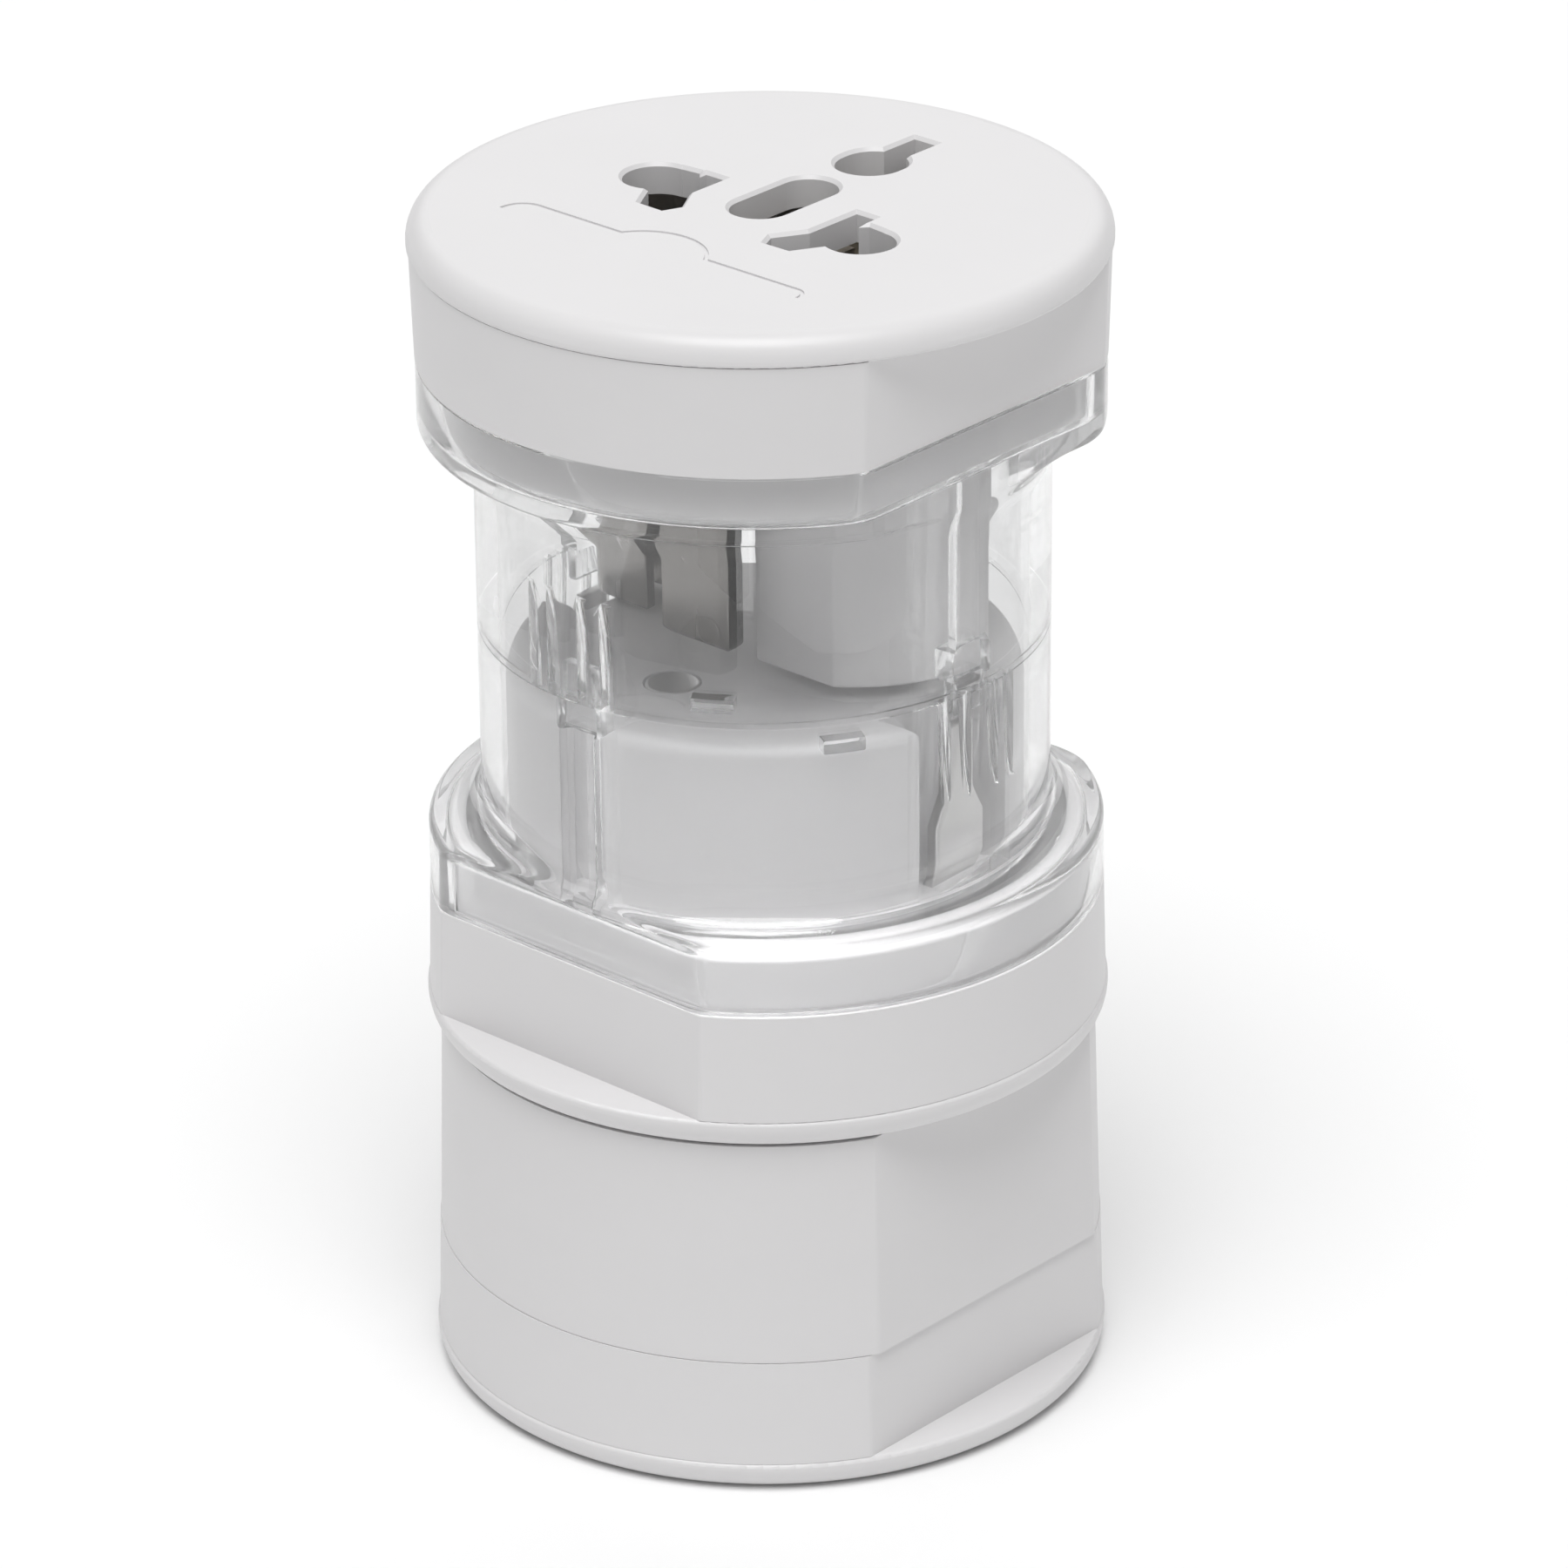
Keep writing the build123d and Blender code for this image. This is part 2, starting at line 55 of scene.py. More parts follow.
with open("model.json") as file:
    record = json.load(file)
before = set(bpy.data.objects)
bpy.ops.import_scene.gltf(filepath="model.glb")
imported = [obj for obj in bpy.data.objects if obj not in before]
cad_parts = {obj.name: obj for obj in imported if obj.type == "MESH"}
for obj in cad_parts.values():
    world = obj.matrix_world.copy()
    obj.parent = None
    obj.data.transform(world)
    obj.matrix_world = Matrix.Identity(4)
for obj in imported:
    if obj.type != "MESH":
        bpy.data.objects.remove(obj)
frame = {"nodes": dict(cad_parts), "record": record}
CAD_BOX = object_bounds()
SLOTS = {part["node"]: part["material_slot"] for part in frame["record"]["subparts"]}
MM = 0.001
CASE_LOW, CASE_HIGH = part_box("case_upper_half")
TONGUE = 2.2 * MM
SEAM_HIGH = CASE_LOW.z + TONGUE
SEAM_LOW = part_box("case_lower_half")[1].z - TONGUE


# ---------------------------------------------------------------- settings
def length(name, description, default):
    """A length property in scene units."""
    return bpy.props.FloatProperty(name=name, description=description, default=default, min=0.0,
                                   precision=5, unit="LENGTH")


def colour(name, description, default):
    """A linear colour property."""
    return bpy.props.FloatVectorProperty(name=name, description=description, default=default,
                                         subtype="COLOR", size=3, min=0.0, max=1.0)


class CaseSettings(bpy.types.PropertyGroup):
    """Sizes of one clear case half."""
    tube_radius: length("Tube radius", "Outside of the clear tube", 20.26 * MM)
    tube_wall: length("Tube wall", "Thickness of the clear tube", 1.55 * MM)
    flange_radius: length("Flange radius", "Outside of the flange", CASE_HIGH.y)
    flange_flat: length("Flange flat", "Axis to each flat of the flange", CASE_HIGH.x)
    flange_wall: length("Flange wall", "Thickness of the flange wall", 1.3 * MM)
    flange_height: length("Flange height", "Height of the flange", 5.1 * MM)
    ledge: length("Ledge", "Thickness of the ledge between tube and flange", 1.0 * MM)
    sweep: length("Sweep radius", "Curve from the tube into the ledge", 2.8 * MM)
    groove_length: length("Groove length", "Length of a grip groove", 8.0 * MM)
    groove_depth: length("Groove depth", "Depth of a grip groove at the seam", 1.1 * MM)
    groove_width: length("Groove width", "Width of a grip groove", 0.8 * MM)
    groove_inner: length("Inner groove place", "Middle of the side to each inner groove", 1.45 * MM)
    groove_step: length("Groove step", "Inner groove to outer groove", 1.95 * MM)
    finger_reach: length("Finger reach", "How far a latch finger stands into the bore", 1.21 * MM)
    finger_width: length("Finger width", "Width of a latch finger", 3.0 * MM)


class FinishSettings(bpy.types.PropertyGroup):
    """Colours of the finishes, and the edge radius of the softened pieces."""
    edge: length("Edge radius", "Rounding of outward edges", 0.14 * MM)
    white: colour("White plastic", "Socket caps, bases and cover", (0.70, 0.692, 0.697))
    clear: colour("Clear plastic", "The case halves", (0.985, 0.988, 0.99))
    # The blade plating colour is darkened to stand in for dark studio surroundings seen in the blades:
    # painted reflection.
    plating: colour("Blade plating", "Blades and the folded earth pin", (0.27, 0.26, 0.25))
    spring: colour("Clip plating", "Earth clips and round pins", (0.66, 0.655, 0.65))
    brass: colour("Contact strips", "Tinned brass strips inside the caps", (0.82, 0.77, 0.68))
    screw: colour("Screws", "Zinc-plated screws", (0.45, 0.45, 0.44))
    bridge: colour("Pin bridge", "Insulating bridge of the round pins", (0.20, 0.20, 0.21))
    floor: colour("Floor", "Studio floor", (0.87, 0.87, 0.87))


# ---------------------------------------------------------------- node maths
class Val:
    """A node's output that takes part in Python expressions."""

    def __init__(self, build, socket):
        self.build = build
        self.socket = socket

    def maths(self, operation, a, b=None):
        """A Math node on one or two values."""
        return self.build.node("ShaderNodeMath", {"operation": operation}, {0: a, 1: b})

    def __add__(self, other):
        return self.maths("ADD", self, other)

    def __sub__(self, other):
        return self.maths("SUBTRACT", self, other)

    def __rsub__(self, other):
        return self.maths("SUBTRACT", other, self)

    def __mul__(self, other):
        return self.maths("MULTIPLY", self, other)

    def __truediv__(self, other):
        return self.maths("DIVIDE", self, other)

    def __rtruediv__(self, other):
        return self.maths("DIVIDE", other, self)

    def __floor__(self):
        return self.maths("FLOOR", self)

    def __abs__(self):
        return self.maths("ABSOLUTE", self)

    def sign(self):
        """Minus one, nought or one."""
        return self.maths("SIGN", self)

    __radd__ = __add__
    __rmul__ = __mul__


class Nodes:
    """Adds nodes to one tree."""

    def __init__(self, tree):
        self.tree = tree

    def node(self, kind, settings, inputs, out=0):
        """One node: its settings first, then values or links, and the output asked for."""
        made = self.tree.nodes.new(kind)
        for key, value in settings.items():
            setattr(made, key, value)
        for socket, value in inputs.items():
            self.feed(made.inputs[socket], value)
        return Val(self, made.outputs[out]) if len(made.outputs) else None

    def feed(self, socket, value):
        """Links a Val to a socket or sets a plain value on it."""
        if isinstance(value, Val):
            self.tree.links.new(value.socket, socket)
        elif value is not None:
            socket.default_value = value


class Finish(Nodes):
    """Builds one material around a Principled shader."""

    def __init__(self, name, constants):
        self.material = bpy.data.materials.new(name)
        self.material.use_nodes = True
        self.material.node_tree.nodes.clear()
        super().__init__(self.material.node_tree)
        self.shader = self.node("ShaderNodeBsdfPrincipled", {}, constants)
        self.place = self.node("ShaderNodeTexCoord", {}, {}, "Object")

    def done(self, surface=None):
        """Joins the surface to the output and hands over the material."""
        self.node("ShaderNodeOutputMaterial", {}, {"Surface": surface or self.shader})
        return self.material

    def drive(self, socket, value):
        """Feeds one socket of the shader."""
        self.feed(self.shader.socket.node.inputs[socket], value)

    def stretched(self, scale):
        """Object coordinates scaled along each axis."""
        return self.node("ShaderNodeMapping", {}, {"Vector": self.place, "Scale": scale})

    def noise(self, scale, detail=3.0, vector=None, distortion=0.0):
        """Noise from 0 to 1 at a scale in cells per metre."""
        inputs = {"Vector": vector or self.place, "Scale": scale, "Detail": detail, "Distortion": distortion}
        return self.node("ShaderNodeTexNoise", {}, inputs, "Fac")

    def tint(self, share, dark, light):
        """Colour between two ends, each a plain colour or a Val."""
        ends = [end if isinstance(end, Val) else (*end, 1.0) for end in (dark, light)]
        return self.node("ShaderNodeMix", {"data_type": "RGBA"}, {0: share, 6: ends[0], 7: ends[1]}, 2)

    def bump(self, height, distance, strength):
        """Fine relief for the shader's normal."""
        inputs = {"Height": height, "Distance": distance, "Strength": strength}
        self.drive("Normal", self.node("ShaderNodeBump", {}, inputs, "Normal"))


# ---------------------------------------------------------------- finishes
FINE_RELIEF = 0.01 * MM
FLOW_RELIEF = 0.02 * MM
SEAM_CLOSED = 0.85
CLEAR_BODY = 0.86
# Painted dark reflection: share of the plating colour kept on blade faces that point towards plus or minus X.
PAINTED_DARK_REFLECTION_SHADE = 0.15


def shade(rgb, factor):
    """A colour made darker or lighter."""
    return tuple(min(1.0, c * factor) for c in rgb)


def white_plastic(name, rgb, gloss):
    """Satin moulded plastic: faint flow mottling, spark-eroded grain and handling marks."""
    made = Finish(name, {"IOR": 1.5})
    flow = made.noise(90.0, 2.0, made.stretched((1.0, 1.0, 2.5)))
    made.drive("Base Color", made.tint(flow, shade(rgb, 0.985), shade(rgb, 1.012)))
    rubbed = made.noise(260.0, 4.0)
    made.drive("Roughness", gloss + rubbed * 0.10)
    grain = made.noise(9000.0, 2.0) * 0.6 + made.noise(1500.0, 2.0) * 0.4
    made.bump(grain, FINE_RELIEF, 0.35)
    return made.done()


def clear_plastic(name, rgb):
    """Clear polycarbonate with faint flow lines and handling haze; it lets lamp light through."""
    made = Finish(name, {"IOR": 1.45, "Transmission Weight": 1.0, "Base Color": (*rgb, 1.0)})
    haze = made.noise(160.0, 5.0, None, 0.6)
    made.drive("Roughness", haze * 0.03)
    flow = made.noise(70.0, 2.0, made.stretched((1.0, 1.0, 0.35)), 0.4)
    made.bump(flow, FLOW_RELIEF, 0.15)
    seam = made.node("ShaderNodeAttribute", {"attribute_name": "seam"}, {}, "Fac")
    made.drive("Alpha", (1.0 - seam * SEAM_CLOSED) * CLEAR_BODY)
    rays = made.node("ShaderNodeLightPath", {}, {}, "Is Shadow Ray")
    see_through = made.node("ShaderNodeBsdfTransparent", {}, {"Color": (*shade(rgb, 0.93), 1.0)})
    return made.done(made.node("ShaderNodeMixShader", {}, {0: rays, 1: made.shader, 2: see_through}))


def plated_metal(name, rgb, gloss, axis_scale):
    """Rolled and plated metal: drawn streaks along the pin, slight clouding, and a painted dark reflection on
    marked faces.
    """
    made = Finish(name, {"Metallic": 1.0, "IOR": 1.5})
    streak = made.noise(1400.0, 3.0, made.stretched(axis_scale))
    cloud = made.noise(220.0, 3.0)
    face = made.tint(cloud * 0.6 + streak * 0.4, shade(rgb, 0.88), shade(rgb, 1.08))
    # Painted dark reflection: the marked faces turn much darker than the plating.
    cut = made.node("ShaderNodeAttribute", {"attribute_name": "painted_dark_reflection"}, {}, "Fac")
    made.drive("Base Color", made.tint(cut, face, shade(rgb, PAINTED_DARK_REFLECTION_SHADE)))
    made.drive("Roughness", gloss + streak * 0.10 + cloud * 0.08)
    made.bump(streak, FINE_RELIEF, 0.5)
    return made.done()


def brass_strip(name, rgb):
    """Rolled brass with tarnish in patches."""
    made = Finish(name, {"Metallic": 1.0})
    tarnish = made.noise(320.0, 4.0)
    made.drive("Base Color", made.tint(tarnish, shade(rgb, 0.72), shade(rgb, 1.12)))
    made.drive("Roughness", 0.24 + tarnish * 0.22)
    made.bump(made.noise(2600.0, 2.0), FINE_RELIEF, 0.3)
    return made.done()


FINISHES = {}


def make_finishes(look):
    """All finishes, once, by slot name."""
    FINISHES.update({
        "white_shell": white_plastic("satin_white_shell", look.white, 0.34),
        "white_base": white_plastic("satin_white_base", shade(look.white, 0.99), 0.40),
        "clear_case": clear_plastic("clear_polycarbonate", look.clear),
        # Blade plating darkened as a painted dark reflection.
        "plated_blade": plated_metal("plated_blade", look.plating, 0.16, (1.0, 1.0, 0.04)),
        "plated_pin": plated_metal("plated_pin", look.spring, 0.28, (1.0, 1.0, 0.04)),
        "earth_clip": plated_metal("plated_spring_clip", look.spring, 0.26, (1.0, 1.0, 0.08)),
        "brass_contact": brass_strip("brass_contact_strip", look.brass),
        "steel_screw": plated_metal("zinc_screw", look.screw, 0.28, (1.0, 1.0, 1.0)),
        "grey_insulator": white_plastic("grey_pin_bridge", look.bridge, 0.45),
    })


# ---------------------------------------------------------------- mesh tools
FINE_TURN = 0.6
FINE_END = 48
COARSE_TURN = 3
FLAT_CORNER = 0.5 * MM


def soft_min(a, b, k):
    """Smaller of two values, with the crossing rounded over k."""
    h = max(k - abs(a - b), 0.0) / k
    return min(a, b) - h * h * k / 4


def ease(t):
    """Smooth step from 0 to 1."""
    t = min(max(t, 0.0), 1.0)
    return t * t * (3 - 2 * t)


def ring_angles():
    """Angles round the axis, close together wherever a flat may end."""
    count = round(FINE_END / FINE_TURN)
    half = [math.radians(i * FINE_TURN) for i in range(-count, count + 1)]
    half += [math.radians(angle) for angle in range(FINE_END + COARSE_TURN, 180 - FINE_END, COARSE_TURN)]
    return half + [angle + math.pi for angle in half]


ANGLES = ring_angles()


def ring(radius, z, flat=None, finger=None):
    """Closed loop: a circle cut by flats at plus and minus X, or swollen inwards by latch fingers."""
    points = []
    for angle in ANGLES:
        r = radius
        if flat is not None and radius > flat - FLAT_CORNER:
            r = soft_min(radius, flat / max(abs(math.cos(angle)), 1e-4), FLAT_CORNER)
        if finger is not None:
            reach, width, side = finger
            r -= reach * ease((width / 2 - abs(r * math.sin(angle))) / side)
        points.append(Vector((r * math.cos(angle), r * math.sin(angle), z)))
    return points


def loft(rings, joined=False, capped=False):
    """A bmesh skinned over loops of as many points each, with its ends joined, capped or left open."""
    bm = bmesh.new()
    loops = [[bm.verts.new(p) for p in loop] for loop in rings]
    pairs = list(zip(loops, loops[1:]))
    if joined:
        pairs.append((loops[-1], loops[0]))
    for low, high in pairs:
        for i in range(len(low)):
            j = (i + 1) % len(low)
            bm.faces.new((low[i], low[j], high[j], high[i]))
    if capped:
        bm.faces.new(loops[0])
        bm.faces.new(loops[-1])
    return bm


def arc_steps(count):
    """Angles of a quarter turn in equal steps, both ends included."""
    return [math.pi / 2 * i / count for i in range(count + 1)]


def mesh_object(name, bm, material=None):
    """A new object from a bmesh, with outward normals."""
    bmesh.ops.recalc_face_normals(bm, faces=bm.faces)
    data = bpy.data.meshes.new(name)
    bm.to_mesh(data)
    bm.free()
    made = bpy.data.objects.new(name, data)
    bpy.context.scene.collection.objects.link(made)
    if material:
        data.materials.append(material)
    return made


def box_mesh(bm, low, high, turn, bevel):
    """Adds a box between two corners, with rounded edges, turned about Z."""
    made = bmesh.ops.create_cube(bm, size=1.0)["verts"]
    low, high = Vector(low), Vector(high)
    size, centre = high - low, (high + low) / 2
    for v in made:
        v.co = Vector((v.co.x * size.x, v.co.y * size.y, v.co.z * size.z)) + centre
    edges = list({e for v in made for e in v.link_edges})
    done = bmesh.ops.bevel(bm, geom=edges, offset=bevel, segments=2, affect="EDGES", profile=0.5)
    made = list({v for f in done["faces"] for v in f.verts} | {v for v in made if v.is_valid})
    bmesh.ops.rotate(bm, verts=made, cent=(0, 0, 0), matrix=Matrix.Rotation(turn, 3, "Z"))


def bake_modifiers(target):
    """Replaces an object's mesh with its evaluated one and removes the modifiers."""
    bpy.context.view_layer.update()
    graph = bpy.context.evaluated_depsgraph_get()
    data = bpy.data.meshes.new_from_object(target.evaluated_get(graph))
    target.modifiers.clear()
    target.data = data


def combine(target, tool, operation):
    """Joins or cuts target with tool, applies it and removes the tool."""
    step = target.modifiers.new("combine", "BOOLEAN")
    step.operation = operation
    step.solver = "MANIFOLD"
    step.object = tool
    bake_modifiers(target)
    bpy.data.objects.remove(tool)


def smooth(target, degrees):
    """Smooth shading with edges sharper than the angle kept crisp."""
    target.data.shade_smooth()
    target.data.set_sharp_from_angle(angle=math.radians(degrees))


# ---------------------------------------------------------------- grip grooves
GROOVE_SIDES = 2
GROOVES_A_SIDE = 4
GROOVE_ACROSS = 10
GROOVE_ALONG = 24
GROOVE_CORNER = 0.25 * MM
GROOVE_RUN_OUT = 0.02 * MM
CUTTER_PROUD = 0.5 * MM
CUTTER_BELOW = 1 * MM


def grip_groove_tree(material):
    """Turns copies of a cutter about the axis: two sides of four, in pairs."""
    tree = bpy.data.node_groups.new("grip_grooves", "GeometryNodeTree")
    face = tree.interface
    face.new_socket("Geometry", in_out="INPUT", socket_type="NodeSocketGeometry")
    face.new_socket("Cutter", in_out="INPUT", socket_type="NodeSocketObject")
    for name in ("Tube radius", "Inner place", "Step"):
        face.new_socket(name, in_out="INPUT", socket_type="NodeSocketFloat")
    face.new_socket("Geometry", in_out="OUTPUT", socket_type="NodeSocketGeometry")
    build = Nodes(tree)
    cutter, radius, inner, step = [build.node("NodeGroupInput", {}, {}, name)
                                   for name in ("Cutter", "Tube radius", "Inner place", "Step")]
    index = build.node("GeometryNodeInputIndex", {}, {})
    side = math.floor(index / float(GROOVES_A_SIDE))
    place = index - side * float(GROOVES_A_SIDE) - (GROOVES_A_SIDE - 1) / 2
    reach = (abs(place) - 0.5) * step + inner
    turn = reach * place.sign() / radius + side * math.pi
    spin = build.node("ShaderNodeCombineXYZ", {}, {"Z": turn})
    points = build.node("GeometryNodePoints", {}, {"Count": GROOVE_SIDES * GROOVES_A_SIDE})
    shape = build.node("GeometryNodeObjectInfo", {}, {"Object": cutter}, "Geometry")
    inputs = {"Points": points, "Instance": shape, "Rotation": spin}
    copies = build.node("GeometryNodeInstanceOnPoints", {}, inputs)
    real = build.node("GeometryNodeRealizeInstances", {}, {0: copies})
    painted = build.node("GeometryNodeSetMaterial", {}, {"Geometry": real, "Material": material})
    build.node("NodeGroupOutput", {}, {0: painted})
    return tree


def set_input(modifier, name, value):
    """Sets a Geometry Nodes input by its socket's identifier."""
    for item in modifier.node_group.interface.items_tree:
        if item.in_out == "INPUT" and item.name == name:
            modifier[item.identifier] = value


def groove_cutter(size):
    """Cutter for one groove at -Y: round-bottomed, deepest at the seam and running out."""
    half = size.groove_width / 2
    curve = min(half, GROOVE_CORNER)
    proud = size.tube_radius + CUTTER_PROUD
    rows = []
    for i in range(-1, GROOVE_ALONG + 1):
        t = max(i, 0) / GROOVE_ALONG
        depth = size.groove_depth * (1 - t * t) - GROOVE_RUN_OUT
        z = size.groove_length * t if i >= 0 else -CUTTER_BELOW
        row = [(-half, proud)]
        for j in range(GROOVE_ACROSS + 1):
            turn = math.pi * j / GROOVE_ACROSS
            x = -math.cos(turn)
            x = math.copysign(half - curve, x) + x * curve
            row.append((x, size.tube_radius - depth + curve * (1 - math.sin(turn))))
        row.append((half, proud))
        rows.append([(x, -y, z) for x, y in row])
    return mesh_object("groove_cutter", loft(rows, capped=True))


def grip_grooves(size, material):
    """The eight groove cutters of one half, as one plain mesh object."""
    template = groove_cutter(size)
    host = mesh_object("grip_grooves", bmesh.new(), material)
    step = host.modifiers.new("grooves", "NODES")
    step.node_group = grip_groove_tree(material)
    set_input(step, "Cutter", template)
    set_input(step, "Tube radius", size.tube_radius)
    set_input(step, "Inner place", size.groove_inner)
    set_input(step, "Step", size.groove_step)
    bake_modifiers(host)
    bpy.data.objects.remove(template)
    return host


# ---------------------------------------------------------------- softened blades
SOFT_NODES = {
    "upper_adapter": ("upper_stacking_block", "upper_blade_live", "upper_blade_neutral", "upper_ground_pin"),
    "middle_adapter": ("middle_earth_clip_right", "middle_earth_clip_left"),
    "lower_adapter": ("lower_blade_live", "lower_blade_neutral", "lower_blade_earth"),
}
# Pieces whose faces towards plus or minus X get a painted dark reflection.
PAINTED_DARK_REFLECTION_NODES = ("upper_blade_live", "upper_blade_neutral", "upper_ground_pin")
MERGE_GAP = 0.0001 * MM
ROUNDED_FROM = math.radians(28)
SIDEWAYS = 0.8


def softened(name, radius):
    """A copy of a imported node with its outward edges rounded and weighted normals."""
    bm = bmesh.new()
    bm.from_mesh(frame["nodes"][name].data)
    bmesh.ops.remove_doubles(bm, verts=bm.verts, dist=MERGE_GAP)
    edges = [e for e in bm.edges if e.is_convex and e.calc_face_angle(0.0) > ROUNDED_FROM]
    bmesh.ops.bevel(bm, geom=edges, offset=radius, segments=3, affect="EDGES", profile=0.5, miter_outer="ARC")
    open_edges = sum(not e.is_manifold for e in bm.edges)
    if open_edges:
        raise RuntimeError(f"{name}: {open_edges} open edges after rounding")
    made = mesh_object(f"{name}_soft", bm)
    smooth(made, 35)
    step = made.modifiers.new("normals", "WEIGHTED_NORMAL")
    step.keep_sharp = True
    bake_modifiers(made)
    return made


def paint_dark_reflection_faces(piece):
    """Marks the blade faces that point towards plus or minus X, whose plating is painted dark as a painted
    reflection of dark surroundings.
    """
    mark = piece.data.attributes.new("painted_dark_reflection", "FLOAT", "FACE")
    for face in piece.data.polygons:
        mark.data[face.index].value = float(abs(face.normal.x) > SIDEWAYS)


# ---------------------------------------------------------------- clear case
RIM_SOFT = 0.12 * MM
FLANGE_CORNER = 0.6 * MM
POCKET_CORNER = 0.36 * MM
SEAM_EDGE = 0.03 * MM
SEAM_REACH = 0.04 * MM
FINGER_SIDE = 0.45 * MM
TUBE_STEPS, SWEEP_STEPS, CORNER_STEPS, WALL_STEPS, POCKET_STEPS = 6, 26, 6, 4, 4
WINDOW_ANGLES = (-58, 122)
WINDOW_HALF = 1.5 * MM
WINDOW_LOW, WINDOW_HIGH = 1.1 * MM, 2.1 * MM


def case_profile(size):
    """Rings of one half, seam at 0, round the outside, over the flange and back down the bore."""
    tall = CASE_HIGH.z - SEAM_HIGH
    under = tall - size.flange_height
    tube, bore = size.tube_radius, size.tube_radius - size.tube_wall
    flat = size.flange_flat
    finger = (size.finger_reach, size.finger_width, FINGER_SIDE)
    rings = [ring(tube - SEAM_EDGE, 0), ring(tube, SEAM_EDGE)]
    rings += [ring(tube, (under - size.sweep) * i / TUBE_STEPS) for i in range(1, TUBE_STEPS)]
    for turn in arc_steps(SWEEP_STEPS):
        radius = tube + size.sweep * (1 - math.cos(turn))
        rings.append(ring(radius, under - size.sweep * (1 - math.sin(turn)), flat))
    for turn in arc_steps(CORNER_STEPS):
        radius = size.flange_radius - FLANGE_CORNER * (1 - math.sin(turn))
        rings.append(ring(radius, under + FLANGE_CORNER * (1 - math.cos(turn)), flat))
    wall = tall - RIM_SOFT - under
    rings += [ring(size.flange_radius, under + wall * i / WALL_STEPS, flat) for i in range(1, WALL_STEPS + 1)]
    rings.append(ring(size.flange_radius - RIM_SOFT, tall, flat - RIM_SOFT))
    inner, inner_flat = size.flange_radius - size.flange_wall, flat - size.flange_wall
    floor = under + size.ledge
    rings.append(ring(inner + RIM_SOFT, tall, inner_flat + RIM_SOFT))
    rings.append(ring(inner, tall - RIM_SOFT, inner_flat))
    for turn in arc_steps(POCKET_STEPS):
        cut = POCKET_CORNER * (1 - math.cos(turn))
        rings.append(ring(inner - cut, floor + POCKET_CORNER * (1 - math.sin(turn)), inner_flat - cut))
    rings.append(ring(bore + 2 * RIM_SOFT, floor, None, finger))
    heights = (floor - 2 * RIM_SOFT, floor * 0.75, floor / 2, floor / 4, SEAM_EDGE)
    rings += [ring(bore, z, None, finger) for z in heights]
    rings.append(ring(bore + SEAM_EDGE, 0, None, finger))
    return rings


def latch_parts(size):
    """Tongues that reach past the seam and catch blocks, on both flat sides."""
    bm = bmesh.new()
    bore = size.tube_radius - size.tube_wall
    deep = bore - size.finger_reach
    half = size.finger_width / 2
    for turn in (0.0, math.pi):
        box_mesh(bm, (deep, -half, -TONGUE), (bore - 0.35 * MM, half, 0.8 * MM), turn, 0.2 * MM)
        box_mesh(bm, (deep - 0.6 * MM, -half * 1.2, 0.5 * MM), (bore + 0.4 * MM, half * 1.2, 2.9 * MM), turn,
                 0.3 * MM)
    return mesh_object("latch_parts", bm)


def split_union(target, tool):
    """Joins every loose part of tool to target, one after the other."""
    bm = bmesh.new()
    bm.from_mesh(tool.data)
    left = set(bm.verts)
    groups = []
    while left:
        stack, found = [next(iter(left))], set()
        while stack:
            v = stack.pop()
            if v in found:
                continue
            found.add(v)
            stack.extend(e.other_vert(v) for e in v.link_edges)
        left -= found
        groups.append(found)
    groups.sort(key=lambda found: min(tuple(v.co) for v in found))
    for found in groups:
        part = bmesh.new()
        copies = {v: part.verts.new(v.co) for v in sorted(found, key=lambda v: v.index)}
        for f in sorted({f for v in found for f in v.link_faces}, key=lambda f: f.index):
            part.faces.new([copies[v] for v in f.verts])
        combine(target, mesh_object("part", part), "UNION")
    bm.free()
    bpy.data.objects.remove(tool)


def window_cutters(size):
    """Boxes through the tube wall for the snap windows, just past the seam."""
    bm = bmesh.new()
    inside, outside = size.tube_radius - size.tube_wall - 1 * MM, size.tube_radius + 1 * MM
    for angle in WINDOW_ANGLES:
        box_mesh(bm, (inside, -WINDOW_HALF, WINDOW_LOW), (outside, WINDOW_HALF, WINDOW_HIGH),
                 math.radians(angle), 0.1 * MM)
    return mesh_object("windows", bm)


def case_half(size, material):
    """One clear half in its own place: tube, flange, grooves, latches and snap windows."""
    half = mesh_object("case_half", loft(case_profile(size), joined=True), material)
    combine(half, grip_grooves(size, material), "DIFFERENCE")
    split_union(half, latch_parts(size))
    combine(half, window_cutters(size), "DIFFERENCE")
    smooth(half, 38)
    seam = half.data.attributes.new("seam", "FLOAT", "FACE")
    for face in half.data.polygons:
        heights = [abs(half.data.vertices[v].co.z) for v in face.vertices]
        seam.data[face.index].value = float(max(heights) < SEAM_REACH)
    half.data.materials.clear()
    half.data.materials.append(material)
    return half


# ---------------------------------------------------------------- stage
HORIZON_LIGHT = 0.32
SKY_LIGHT = 0.36
SKY_FROM = 0.6
# Name, strength, spread, azimuth and elevation of each lamp, angles in degrees.
LAMPS = (("key", 0.76, 40, 35, 72), ("back_fill", 0.16, 60, 215, 35))
FLOOR_HALF = 3.0
VIEW_AZIMUTH = 42.3
VIEW_ELEVATION = 25.18
VIEW_DISTANCE = 0.5592
VIEW_LENS = 180.0
VIEW_SENSOR = 36.0
VIEW_SIDE = 1.28 * MM
VIEW_ROLL = -0.00953


def towards(azimuth, elevation):
    """Unit vector from the object in degrees, azimuth 0 at -Y and growing towards +X."""
    a, e = math.radians(azimuth), math.radians(elevation)
    return Vector((math.sin(a) * math.cos(e), -math.cos(a) * math.cos(e), math.sin(e)))


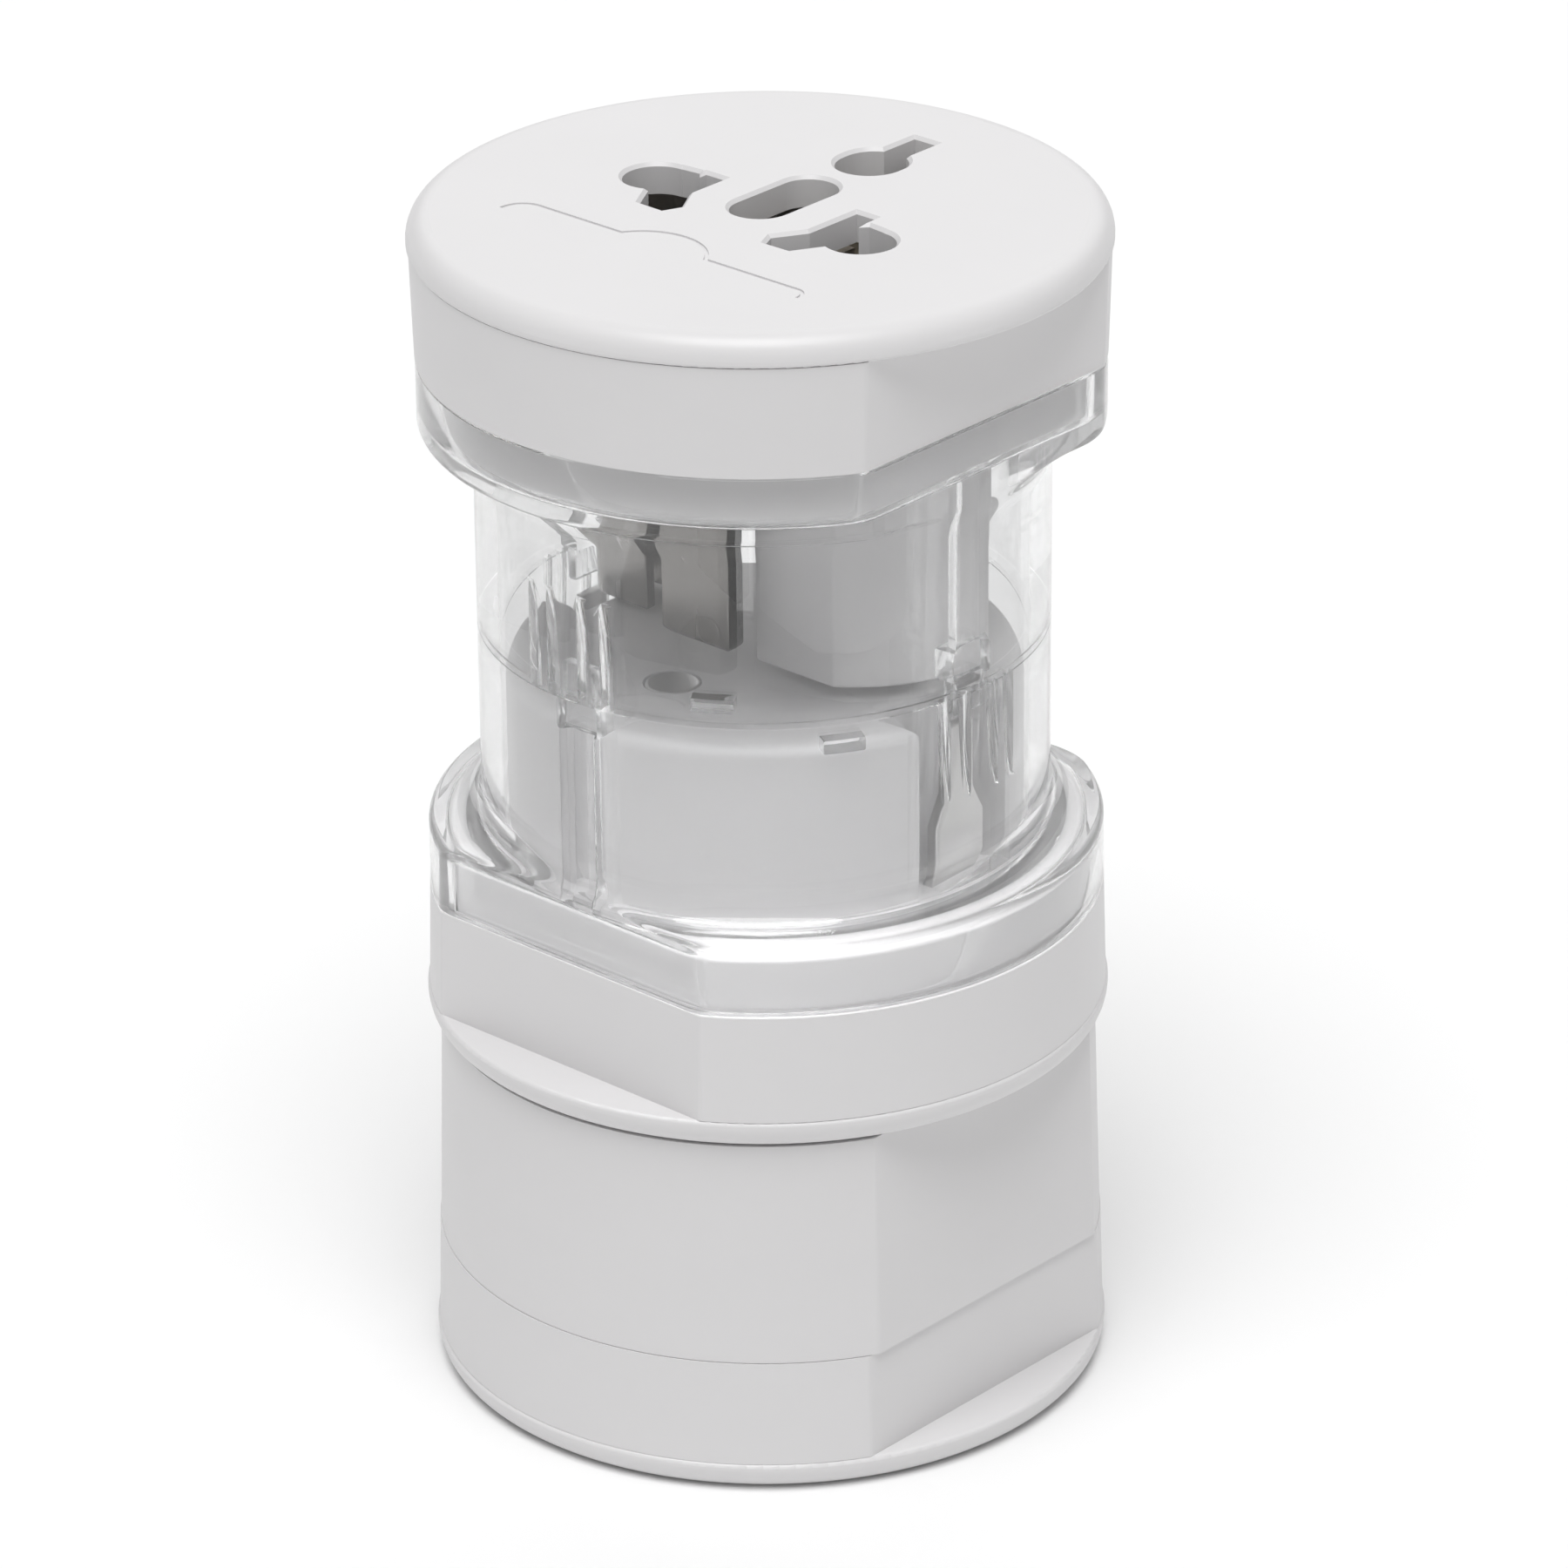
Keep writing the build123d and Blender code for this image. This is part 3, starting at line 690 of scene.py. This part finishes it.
def make_floor(rgb):
    """A wide pale floor under the object."""
    bm = bmesh.new()
    bmesh.ops.create_grid(bm, x_segments=1, y_segments=1, size=FLOOR_HALF)
    made = Finish("studio_floor", {"Roughness": 0.8, "Specular IOR Level": 0.2})
    cloud = made.noise(3.0, 2.0)
    made.drive("Base Color", made.tint(cloud, shade(rgb, 0.995), shade(rgb, 1.005)))
    floor = mesh_object("floor", bm, made.done())
    floor.location.z = CAD_BOX[0].z


def make_surroundings():
    """White surroundings, a little brighter overhead than at the horizon."""
    world = bpy.data.worlds.new("studio")
    world.use_nodes = True
    world.node_tree.nodes.clear()
    sky = Nodes(world.node_tree)
    place = sky.node("ShaderNodeTexCoord", {}, {}, "Generated")
    height = sky.node("ShaderNodeSeparateXYZ", {}, {0: place}, "Z")
    inputs = {"Value": height, "From Min": 0.0, "From Max": SKY_FROM, "To Min": HORIZON_LIGHT,
              "To Max": SKY_LIGHT}
    strength = sky.node("ShaderNodeMapRange", {}, inputs)
    back = sky.node("ShaderNodeBackground", {}, {"Color": (1.0, 1.0, 1.0, 1.0), "Strength": strength})
    sky.node("ShaderNodeOutputWorld", {}, {"Surface": back})
    bpy.context.scene.world = world


def make_lamps():
    """A soft high key light and a weak fill from behind."""
    for name, power, spread, azimuth, elevation in LAMPS:
        data = bpy.data.lights.new(name, "SUN")
        data.energy = power * math.pi
        data.angle = math.radians(spread)
        lamp = bpy.data.objects.new(name, data)
        lamp.rotation_euler = towards(azimuth, elevation).to_track_quat("Z", "Y").to_euler()
        bpy.context.scene.collection.objects.link(lamp)


def make_camera():
    """A long lens, three quarters from above."""
    data = bpy.data.cameras.new("camera")
    data.lens = VIEW_LENS
    data.sensor_width = VIEW_SENSOR
    camera = bpy.data.objects.new("camera", data)
    back = towards(VIEW_AZIMUTH, VIEW_ELEVATION)
    a = math.radians(VIEW_AZIMUTH)
    right = Vector((math.cos(a), math.sin(a), 0))
    up = back.cross(right)
    turned_right = right * math.cos(VIEW_ROLL) + up * math.sin(VIEW_ROLL)
    turned_up = back.cross(turned_right)
    middle = (CAD_BOX[0] + CAD_BOX[1]) / 2
    middle.x = middle.y = 0
    axes = Matrix((turned_right, turned_up, back)).transposed().to_4x4()
    camera.matrix_world = Matrix.Translation(middle + back * VIEW_DISTANCE + right * VIEW_SIDE) @ axes
    bpy.context.scene.collection.objects.link(camera)
    bpy.context.scene.camera = camera


# ---------------------------------------------------------------- operators
class ADAPTER_OT_finishes(bpy.types.Operator):
    """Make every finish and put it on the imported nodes."""
    bl_idname = "adapter.finishes"
    bl_label = "Finishes"

    def execute(self, context):
        make_finishes(context.scene.adapter_finish)
        for name, node in frame["nodes"].items():
            node.data.materials.clear()
            node.data.materials.append(FINISHES[SLOTS[name]])
        return {"FINISHED"}


class ADAPTER_OT_blades(bpy.types.Operator):
    """Round the edges of the stacking block, blades and clips."""
    bl_idname = "adapter.blades"
    bl_label = "Blades, Clips and Block"

    def execute(self, context):
        radius = context.scene.adapter_finish.edge
        for body, names in SOFT_NODES.items():
            for name in names:
                piece = softened(name, radius)
                piece.data.materials.append(FINISHES[SLOTS[name]])
                # Painted dark reflection on the faces that point towards plus or minus X.
                if name in PAINTED_DARK_REFLECTION_NODES:
                    paint_dark_reflection_faces(piece)
                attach(piece, body)
                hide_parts(name)
        return {"FINISHED"}


class ADAPTER_OT_case(bpy.types.Operator):
    """Build both halves of the clear case."""
    bl_idname = "adapter.case"
    bl_label = "Clear Case"

    def execute(self, context):
        upper = case_half(context.scene.adapter_case, FINISHES["clear_case"])
        lower = upper.copy()
        lower.data = upper.data.copy()
        context.scene.collection.objects.link(lower)
        flip = Matrix.Rotation(math.pi, 4, Vector((1, -1, 0)).normalized())
        halves = {"upper": (upper, Matrix.Translation((0, 0, SEAM_HIGH))),
                  "lower": (lower, Matrix.Translation((0, 0, SEAM_LOW)) @ flip)}
        for side, (piece, place) in halves.items():
            piece.name = f"case_{side}_clear"
            piece.data.transform(place)
            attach(piece, f"{side}_case")
            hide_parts(f"case_{side}_half")
        return {"FINISHED"}


class ADAPTER_OT_stage(bpy.types.Operator):
    """Set up the pale floor, soft studio light and camera."""
    bl_idname = "adapter.stage"
    bl_label = "Stage"

    def execute(self, context):
        make_floor(context.scene.adapter_finish.floor)
        make_surroundings()
        make_lamps()
        make_camera()
        context.scene.view_settings.view_transform = "Standard"
        return {"FINISHED"}


class ADAPTER_PT_panel(bpy.types.Panel):
    """Lists the steps in the sidebar."""
    bl_idname = "ADAPTER_PT_panel"
    bl_label = "Travel Adapter"
    bl_space_type = "VIEW_3D"
    bl_region_type = "UI"
    bl_category = "Adapter"

    def draw(self, context):
        for step in STEPS:
            self.layout.operator(step.bl_idname)
        for group in (context.scene.adapter_case, context.scene.adapter_finish):
            for name in group.bl_rna.properties.keys():
                if name not in ("rna_type", "name"):
                    self.layout.prop(group, name)


STEPS = (ADAPTER_OT_finishes, ADAPTER_OT_blades, ADAPTER_OT_case, ADAPTER_OT_stage)
CLASSES = (CaseSettings, FinishSettings, *STEPS, ADAPTER_PT_panel)


def register():
    """Registers the classes and the settings on the scene."""
    for cls in CLASSES:
        bpy.utils.register_class(cls)
    bpy.types.Scene.adapter_case = bpy.props.PointerProperty(type=CaseSettings)
    bpy.types.Scene.adapter_finish = bpy.props.PointerProperty(type=FinishSettings)


def unregister():
    """Takes the settings and classes away again."""
    del bpy.types.Scene.adapter_finish
    del bpy.types.Scene.adapter_case
    for cls in reversed(CLASSES):
        bpy.utils.unregister_class(cls)


def main():
    """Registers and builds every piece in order."""
    register()
    bpy.ops.adapter.finishes()
    bpy.ops.adapter.blades()
    bpy.ops.adapter.case()
    bpy.ops.adapter.stage()


if __name__ == "__main__":
    main()
